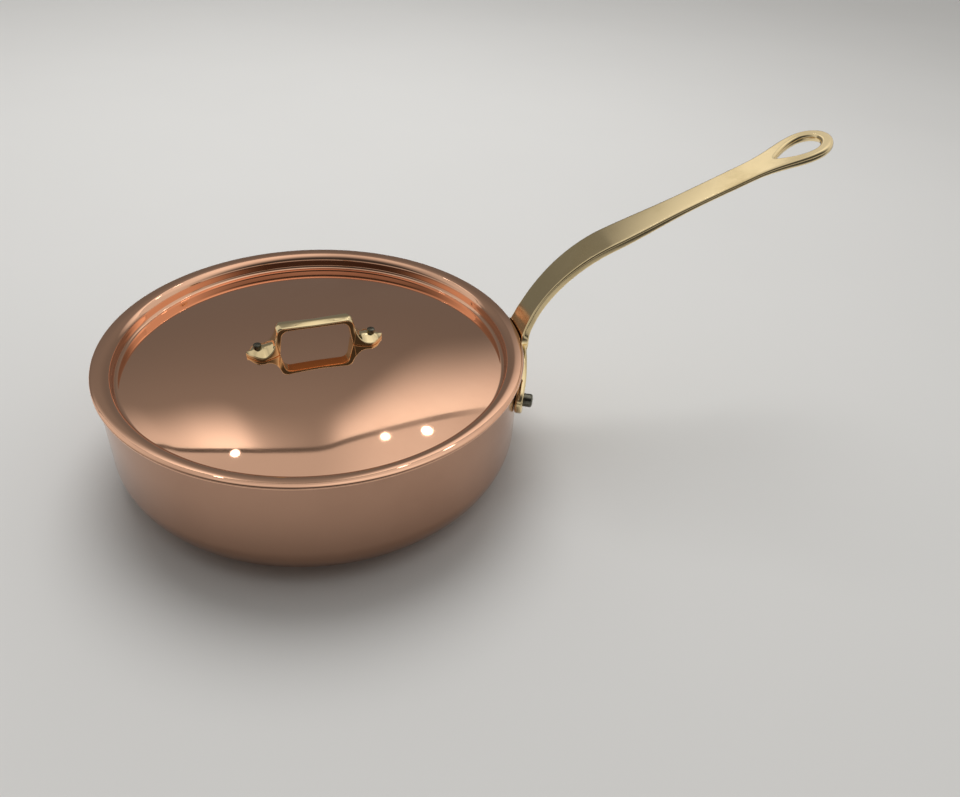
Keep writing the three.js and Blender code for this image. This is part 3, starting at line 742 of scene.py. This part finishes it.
LID_TURN = math.radians(5.5)
BAR_TOP = DOME_TOP + 17.3
BAR_T = 2.9
BAR_HALF = 4.2
POST_TOP_X = 22.75               # outer face of the post, level with the bar
POST_TOP_T = 2.6
POST_FOOT_X = 25.2
POST_FOOT_T = 3.6
POST_LOW_HALF = 5.0
POST_SWELL = 2                   # power by which the post widens downward
INNER_SPLAY = 0.8                # the post's inner face leans this share of the outer one's lean
CORNER_OUT = 2.6
CORNER_IN = 5.0
FLANK_ROUND = 6.0                # hollow between post and foot
FLANK_REACH = 0.8                # share of it that reaches out over the foot
FLANK_SINK = 0.1
FLANK_SWELL = 0.65               # power by which the hollow widens outward
HEEL_RISE = 0.4                  # small round under the inner edge of the foot
HEEL_RUN = 0.3
FOOT_SEAT = 0.03                 # the feet sit this close to the dome
FOOT_T = 4.65
TIP_T = 2.85
LEAF_THINS_X = 33.3              # the leaf thins from here out to its tip
LEAF_HALF = 8.6                  # half width of the leaf where it starts,
LEAF_BELLY = (34.3, 9.9)         # pulls on its side as distance out and half width,
LEAF_NOSE = (37.5, 5.0)
LEAF_TIP = (40.5, 0.5)           # and its tip
LEAF_EDGE = 0.9
EDGE_OF_DEPTH = 0.4              # the edges' round is no more than this share of the edge's depth,
EDGE_OF_HALF = 0.8               # or of the half width
FOOT_CROWN = 2.6                 # fall of the foot's top from its ridge to its sides,
FOOT_HALF = 9.0                  # at this half width
BAR_CROWN = 1.2
RIDGE_SOFTNESS = 0.22            # share of the half width over which the ridge along the top is rounded
STRETCH_POINTS = (10, 14, 14, 22, 30)    # along the bar, its corner, the post, the hollow and the leaf
SEAT_POINTS = 12                 # along the foot's seat under the hollow,
LEAF_POINTS = 20                 # and under the leaf
SECTION_TOP_STEPS = 10           # across the top of a cross-section


def on_dome(x):
    """Height of the foot's seat on the dome."""
    return DOME_CENTRE + math.sqrt((DOME_R + FOOT_SEAT) ** 2 - x * x)


# The outer and the inner line of one half, from the middle of the bar to the tip of the leaf.
splay = math.atan2(POST_FOOT_X - POST_TOP_X, BAR_TOP - DOME_TOP - FOOT_T - CORNER_OUT)
foot_top = DOME_TOP + FOOT_T
flank_x = POST_FOOT_X + FLANK_REACH * FLANK_ROUND
out_corner = arc(POST_TOP_X - CORNER_OUT, BAR_TOP - CORNER_OUT, CORNER_OUT,
                 90, math.degrees(splay), steps=8)
flank_top = (POST_FOOT_X - FLANK_ROUND * math.tan(splay), foot_top + FLANK_ROUND)
flank = bezier(flank_top, (POST_FOOT_X, foot_top - FLANK_SINK), (flank_x, on_dome(flank_x) + FOOT_T))
leaf_x = np.linspace(flank_x, LEAF_TIP[0], LEAF_POINTS)
leaf_t = FOOT_T + (TIP_T - FOOT_T) * smoothstep(leaf_x, LEAF_THINS_X, LEAF_TIP[0])
outer_stretches = [
    [(0, BAR_TOP), out_corner[0]],
    out_corner,
    [out_corner[-1], flank_top],
    flank,
    [(x, on_dome(x) + t) for x, t in zip(leaf_x, leaf_t)],
]

post_in_x = POST_TOP_X - POST_TOP_T
foot_in_x = POST_FOOT_X - POST_FOOT_T
in_corner = arc(post_in_x - CORNER_IN, BAR_TOP - BAR_T - CORNER_IN, CORNER_IN,
                90, INNER_SPLAY * math.degrees(splay), steps=8)
inner_stretches = [
    [(0, BAR_TOP - BAR_T), in_corner[0]],
    in_corner,
    [in_corner[-1], (foot_in_x, on_dome(foot_in_x) + HEEL_RISE)],
    [(x, on_dome(x)) for x in np.linspace(foot_in_x + HEEL_RUN, flank_x, SEAT_POINTS)],
    [(x, on_dome(x)) for x in leaf_x],
]
outer_line = np.vstack([spaced(line, count) for line, count in zip(outer_stretches, STRETCH_POINTS)])
inner_line = np.vstack([spaced(line, count) for line, count in zip(inner_stretches, STRETCH_POINTS)])

bar_points, corner_points, post_points, flank_points, leaf_points = STRETCH_POINTS
leaf_side = np.array(bezier((flank_x, LEAF_HALF), LEAF_BELLY, LEAF_NOSE, LEAF_TIP))
half_widths = np.concatenate([
    np.full(bar_points + corner_points, BAR_HALF),
    BAR_HALF + (POST_LOW_HALF - BAR_HALF) * np.linspace(0, 1, post_points) ** POST_SWELL,
    POST_LOW_HALF + (LEAF_HALF - POST_LOW_HALF) * np.linspace(0, 1, flank_points) ** FLANK_SWELL,
    np.interp(outer_line[-leaf_points:, 0], *leaf_side.T),
])
crowns = BAR_CROWN + (FOOT_CROWN - BAR_CROWN) * smoothstep(half_widths, POST_LOW_HALF, FOOT_HALF)


def rounded_section(top, under, half, crown):
    """The points round one cross-section of the handle, whose upper side falls by crown from a soft ridge."""
    depth = float(np.hypot(*(under - top)))
    edge = min(LEAF_EDGE, EDGE_OF_DEPTH * (depth - crown), EDGE_OF_HALF * half)
    flat = half - edge
    ring = [(y, 0) for y in np.linspace(-flat, flat, SECTION_TOP_STEPS + 1)[1:-1]]
    corners = ((flat, edge, -90), (flat, depth - edge, 0), (-flat, depth - edge, 90), (-flat, edge, 180))
    for y, d, start in corners:
        ring += arc(y, d, edge, start, start + 90, steps=5)
    slope = crown / (math.hypot(1, RIDGE_SOFTNESS) - RIDGE_SOFTNESS)
    points = []
    for y, d in ring:
        fall = slope * (math.hypot(y / half, RIDGE_SOFTNESS) - RIDGE_SOFTNESS)
        x, z = top + (under - top) * (d + fall * (1 - d / depth)) / depth
        points.append((x, y, z))
    return points


half_sections = [rounded_section(*row) for row in zip(outer_line, inner_line, half_widths, crowns)]
sections = [[(-x, y, z) for x, y, z in ring] for ring in half_sections[:0:-1]] + half_sections
around = len(sections[0])
last_section = (len(sections) - 1) * around
bridge_faces = [list(range(around)), list(range(last_section, last_section + around))]
for start in range(0, last_section, around):
    for i in range(around):
        j = (i + 1) % around
        bridge_faces.append([start + i, start + j, start + around + j, start + around + i])
lid_handle = mesh_piece("lid_brass_handle", [p for ring in sections for p in ring], bridge_faces)
lid_handle.data.transform(Matrix.Rotation(LID_TURN, 4, "Z"))
lid_handle.data.materials.append(brass_finish("bright_brass", smooth=0.05, rough=0.10, line_depth=0.001))
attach(lid_handle, "lid")
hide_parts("lid_handle")


# Lid rivets. Two small steel rivets, one through each foot, with flat heads under the lid.
# Their stubs, painted dark with the same painted shade, stand a little above the brass.

LID_RIVET_X = 33.75
LID_RIVET_R = 1.8
LID_STUB_R = 2.4
LID_STUB_LENGTH = 2.7
LID_STUB_SINK = 0.25             # deeper than the pan's, as the leaf falls away from its ridge
LID_STUB_Z = on_dome(LID_RIVET_X) + FOOT_T - LID_STUB_SINK
LID_HEAD_R = 5.0
LID_HEAD_T = 1.4
LID_HEAD_Z = 70.0                # seat of the head under the lid

for node, side in (("lid_rivet_inner", 1), ("lid_rivet_outer", -1)):
    grip = LID_STUB_Z - LID_HEAD_Z
    piece = rivet(node + "_steel", LID_RIVET_R, LID_STUB_R, LID_STUB_LENGTH, LID_HEAD_R, LID_HEAD_T, grip)
    stand = Matrix.Translation((side * LID_RIVET_X * MM, 0, LID_HEAD_Z * MM))
    piece.data.transform(Matrix.Rotation(LID_TURN, 4, "Z") @ stand)
    piece.data.materials.append(rivet_metal)
    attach(piece, "lid")
    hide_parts(node)


# Floor. A wide sheet of pale matt vinyl that the pan stands on, very faintly clouded.
# It is rolled out flat and takes the pan's shadow, without any gloss of its own.

FLOOR_HALF = 5.0                 # metres, as in all that follows
FLOOR_PALE = (0.76, 0.755, 0.74, 1)
FLOOR_SHADE = (0.72, 0.715, 0.70, 1)
FLOOR_CLOUDS = 2.5               # per metre

floor_corners = [(x * FLOOR_HALF, y * FLOOR_HALF, 0) for x, y in ((-1, -1), (1, -1), (1, 1), (-1, 1))]
floor_mesh = bpy.data.meshes.new("floor")
floor_mesh.from_pydata(floor_corners, [], [(0, 1, 2, 3)])
floor = put("floor", floor_mesh)
vinyl = bpy.data.materials.new("floor_vinyl")
vinyl.use_nodes = True
tree = vinyl.node_tree
shader = tree.nodes["Principled BSDF"]
shader.inputs["Roughness"].default_value = 0.55
shader.inputs["Specular IOR Level"].default_value = 0.0
clouds = noise_node(tree, object_place(tree), FLOOR_CLOUDS, detail=3)
two_colours(tree, shader, clouds, FLOOR_PALE, FLOOR_SHADE)
floor_mesh.materials.append(vinyl)


# Light. An even, pale room, brighter overhead and dim high up behind the camera, with one soft lamp above.
# Three small lamps give the polished lid its sparks.

ROOM = 0.66
ZENITH = 0.16                    # added straight overhead
CEILING_LEFT = 0.55
CEILING_RIGHT = 0.80
CEILING_SIDES = (-0.16, 0.02)    # rightward parts of a direction, between which the ceiling goes over
CEILING_FROM = math.sin(math.radians(42))
CEILING_FULL = math.sin(math.radians(54))
ZENITH_FROM = math.sin(math.radians(58))
ZENITH_FULL = math.sin(math.radians(68))
BEHIND_HIGH = 0.08               # share of the light that comes from high up behind the camera,
BEHIND_LOW = 0.70                # and from low down there
BEHIND_LOW_TO = math.sin(math.radians(9))
BEHIND_HIGH_FROM = math.sin(math.radians(20))
BEHIND_SIDES = (-0.6, 0.2)       # forward parts of a direction, between which the dim part ends
LIGHT_WARMTH = (1.0, 0.985, 0.96, 1)
VIEW_ALONG = Vector((0.3007, 0.9537, 0))
VIEW_RIGHT = Vector((0.9537, -0.3007, 0))

world = bpy.data.worlds.new("studio")
world.use_nodes = True
bpy.context.scene.world = world
tree = world.node_tree
direction = tree.nodes.new("ShaderNodeTexCoord").outputs["Generated"]
upward = split_place(tree, direction)["Z"]


def part_along(axis):
    """How far the direction points along an axis."""
    dot = tree.nodes.new("ShaderNodeVectorMath")
    dot.operation = "DOT_PRODUCT"
    dot.inputs[1].default_value = axis
    tree.links.new(direction, dot.inputs[0])
    return dot.outputs["Value"]


ceiling = spread(tree, part_along(VIEW_RIGHT), *CEILING_SIDES, CEILING_LEFT, CEILING_RIGHT)
room_level = spread(tree, upward, CEILING_FROM, CEILING_FULL, ROOM, ceiling)
zenith = spread(tree, upward, ZENITH_FROM, ZENITH_FULL, 0.0, ZENITH)
behind = spread(tree, upward, BEHIND_LOW_TO, BEHIND_HIGH_FROM, BEHIND_LOW, BEHIND_HIGH)
back_level = spread(tree, part_along(VIEW_ALONG), *BEHIND_SIDES, behind, 1.0)
light_level = math_node(tree, "MULTIPLY", math_node(tree, "ADD", room_level, zenith), back_level)
tree.links.new(light_level, tree.nodes["Background"].inputs["Strength"])
tree.nodes["Background"].inputs["Color"].default_value = LIGHT_WARMTH


def soft_lamp(name, across, away, up, size, radiance):
    """A round lamp facing the pan, placed across and along the view and up, in metres."""
    lamp = bpy.data.lights.new(name, "AREA")
    lamp.shape = "DISK"
    lamp.size = size
    lamp.energy = math.pi * math.pi * size * size / 4 * radiance
    stand = put(name, lamp)
    stand.location = across * VIEW_RIGHT + away * VIEW_ALONG + Vector((0, 0, up))
    stand.rotation_euler = (-stand.location).to_track_quat("-Z", "Y").to_euler()
    return stand


key_lamp = soft_lamp("key_lamp", across=-0.13, away=0.66, up=1.45, size=1.1, radiance=4.05)
key_lamp.visible_glossy = False
soft_lamp("left_spark", across=-0.325, away=0.40, up=0.79, size=0.022, radiance=6)
soft_lamp("middle_spark", across=0.040, away=0.40, up=0.663, size=0.020, radiance=6)
soft_lamp("right_spark", across=0.125, away=0.40, up=0.605, size=0.024, radiance=6)


# Back sheet. A wide glowing sheet behind the pan, above the picture and along a rail, for the lid to mirror:
# painted light, with no lamp in it.
# Its glow is dim below and bright near its upper edge, most of all left and right of the middle.

SHEET_AWAY = 0.42
SHEET_EDGE = flowing([           # across, up, light at the edge, how far down that shows, light of the rail
    (-1.20, 0.62, 0.10, 0.20, 0.12),
    (-0.60, 0.70, 0.40, 0.24, 0.10),
    (-0.47, 0.765, 0.60, 0.24, 0.10),
    (-0.38, 0.785, 1.00, 0.26, 0.12),
    (-0.31, 0.792, 0.95, 0.26, 0.12),
    (-0.25, 0.795, 0.32, 0.22, 0.12),
    (-0.155, 0.785, 0.10, 0.20, 0.12),
    (-0.10, 0.765, 0.15, 0.20, 0.15),
    (-0.04, 0.712, 0.70, 0.21, 0.20),
    (0.06, 0.625, 0.90, 0.31, 0.35),
    (0.15, 0.54, 0.85, 0.30, 0.35),
    (0.22, 0.475, 0.75, 0.30, 0.55),
    (0.30, 0.40, 0.50, 0.30, 0.55),
    (0.50, 0.22, 0.30, 0.30, 0.55),
    (0.70, 0.02, 0.30, 0.30, 0.55),
])
RAIL = 0.027                     # height of the rail
SHEET_LOW_GLOW = 0.165
SHEET_RISE = 0.10                # how much brighter the low glow gets towards the top,
SHEET_RISE_Z = (0.2, 0.7)        # between these heights


def strip_faces(count):
    """Faces between rows of three points each."""
    return [(3 * k + low, 3 * k + 3 + low, 3 * k + 4 + low, 3 * k + 1 + low)
            for k in range(count - 1) for low in (0, 1)]


sheet_points = []
sheet_levels = {"drop": [], "light": [], "reach": [], "rail": []}
for across, up, light, reach, rail in SHEET_EDGE:
    sheet_points += [(across, 0, 0), (across, 0, up), (across, 0, up + RAIL)]
    sheet_levels["drop"] += [up, 0, -RAIL]
    for level, value in (("light", light), ("reach", reach), ("rail", rail)):
        sheet_levels[level] += [value] * 3
sheet_mesh = bpy.data.meshes.new("glowing_back_sheet")
sheet_mesh.from_pydata(sheet_points, [], strip_faces(len(SHEET_EDGE)))
for level, values in sheet_levels.items():
    sheet_mesh.attributes.new(level, "FLOAT", "POINT").data.foreach_set("value", values)
sheet = put("glowing_back_sheet", sheet_mesh)
sheet.location = SHEET_AWAY * VIEW_ALONG
sheet.rotation_euler.z = math.atan2(VIEW_RIGHT.y, VIEW_RIGHT.x)


def level_of(tree, name):
    """A value that the mesh's points carry."""
    attribute = tree.nodes.new("ShaderNodeAttribute")
    attribute.attribute_name = name
    return attribute.outputs["Fac"]


def only_mirrored(card):
    """A card that shows in polished metal alone, and neither in the picture nor as a shadow."""
    card.visible_camera = False
    card.visible_diffuse = False
    card.visible_shadow = False


lit_sheet = bpy.data.materials.new("lit_sheet")
lit_sheet.use_nodes = True
tree = lit_sheet.node_tree
tree.nodes.remove(tree.nodes["Principled BSDF"])
drop, light, reach, rail = [level_of(tree, name) for name in sheet_levels]
height = split_place(tree, object_place(tree))["Z"]
low_glow = spread(tree, height, *SHEET_RISE_Z, SHEET_LOW_GLOW, SHEET_LOW_GLOW + SHEET_RISE)
near_edge = spread(tree, drop, 0.0, reach, 1.0, 0.0)
sheet_light = math_node(tree, "ADD", low_glow, math_node(tree, "MULTIPLY", light, near_edge))
on_rail = math_node(tree, "LESS_THAN", drop, 0.0)
off_rail = math_node(tree, "SUBTRACT", 1.0, on_rail)
shown = math_node(tree, "ADD", math_node(tree, "MULTIPLY", sheet_light, off_rail),
                  math_node(tree, "MULTIPLY", on_rail, rail))
# The sheet glows: painted light that only polished metal sees.
glow = tree.nodes.new("ShaderNodeEmission")
glow.inputs["Color"].default_value = LIGHT_WARMTH
tree.links.new(shown, glow.inputs["Strength"])
tree.links.new(glow.outputs[0], tree.nodes["Material Output"].inputs["Surface"])
sheet_mesh.materials.append(lit_sheet)
only_mirrored(sheet)


# Dark card. Painted shade: a wide dark sheet that only polished metal mirrors, laid on the floor round the
# front of the pan for the dim room there. It fades out towards the pan, so that the polished sides mirror only
# the near floor as bright.

CARD_NEAR = 0.19
CARD_FULL = 0.50                 # fully dark from here out
CARD_FAR = 2.5
CARD_TURN = 105                  # degrees to each side of the front
CARD_FADE = 35                   # degrees over which its ends fade
CARD_ROWS = 43
CARD_LIFT = 0.002
CARD_PAINTED_SHADE = (0.05, 0.049, 0.047, 1)

card_points, card_cover = [], []
for turn in np.linspace(-CARD_TURN, CARD_TURN, CARD_ROWS):
    outward = -math.cos(math.radians(turn)) * VIEW_ALONG + math.sin(math.radians(turn)) * VIEW_RIGHT
    fade = float(1 - smoothstep(abs(turn), CARD_TURN - CARD_FADE, CARD_TURN))
    for away, cover in ((CARD_NEAR, 0), (CARD_FULL, fade), (CARD_FAR, fade)):
        card_points.append(away * outward + Vector((0, 0, CARD_LIFT)))
        card_cover.append(cover)
card_mesh = bpy.data.meshes.new("mirrored_shade_card")
card_mesh.from_pydata(card_points, [], strip_faces(CARD_ROWS))
card_mesh.attributes.new("cover", "FLOAT", "POINT").data.foreach_set("value", card_cover)
card = put("mirrored_shade_card", card_mesh)
painted_shade_card = bpy.data.materials.new("painted_shade_card")
painted_shade_card.use_nodes = True
tree = painted_shade_card.node_tree
shader = tree.nodes["Principled BSDF"]
# Painted shade, seen only in reflections.
shader.inputs["Base Color"].default_value = CARD_PAINTED_SHADE
shader.inputs["Roughness"].default_value = 0.9
tree.links.new(level_of(tree, "cover"), shader.inputs["Alpha"])
card_mesh.materials.append(painted_shade_card)
only_mirrored(card)


# Camera. Where the photograph was taken from: in front of the pan and above it, looking down across the lid.
# It is held a few degrees off level.

CAMERA_PLACE = Vector((-0.02399, -0.41011, 0.33958))
CAMERA_LOOK = Vector((0.2409, 0.7641, -0.5984)).normalized()
CAMERA_ROLL = math.radians(4.323)
SENSOR_WIDTH = 36                # millimetres, as the focal length
FOCAL_LENGTH = 30
CLIP_START = 0.01

lens = bpy.data.cameras.new("camera")
lens.sensor_width = SENSOR_WIDTH
lens.lens = FOCAL_LENGTH
lens.clip_start = CLIP_START
camera = put("camera", lens)
level_right = CAMERA_LOOK.cross(Vector((0, 0, 1))).normalized()
level_up = level_right.cross(CAMERA_LOOK)
right = math.cos(CAMERA_ROLL) * level_right + math.sin(CAMERA_ROLL) * level_up
up = math.cos(CAMERA_ROLL) * level_up - math.sin(CAMERA_ROLL) * level_right
aim = Matrix((right, up, -CAMERA_LOOK)).transposed()
camera.matrix_world = Matrix.Translation(CAMERA_PLACE) @ aim.to_4x4()
bpy.context.scene.camera = camera
bpy.context.scene.view_settings.view_transform = "Standard"
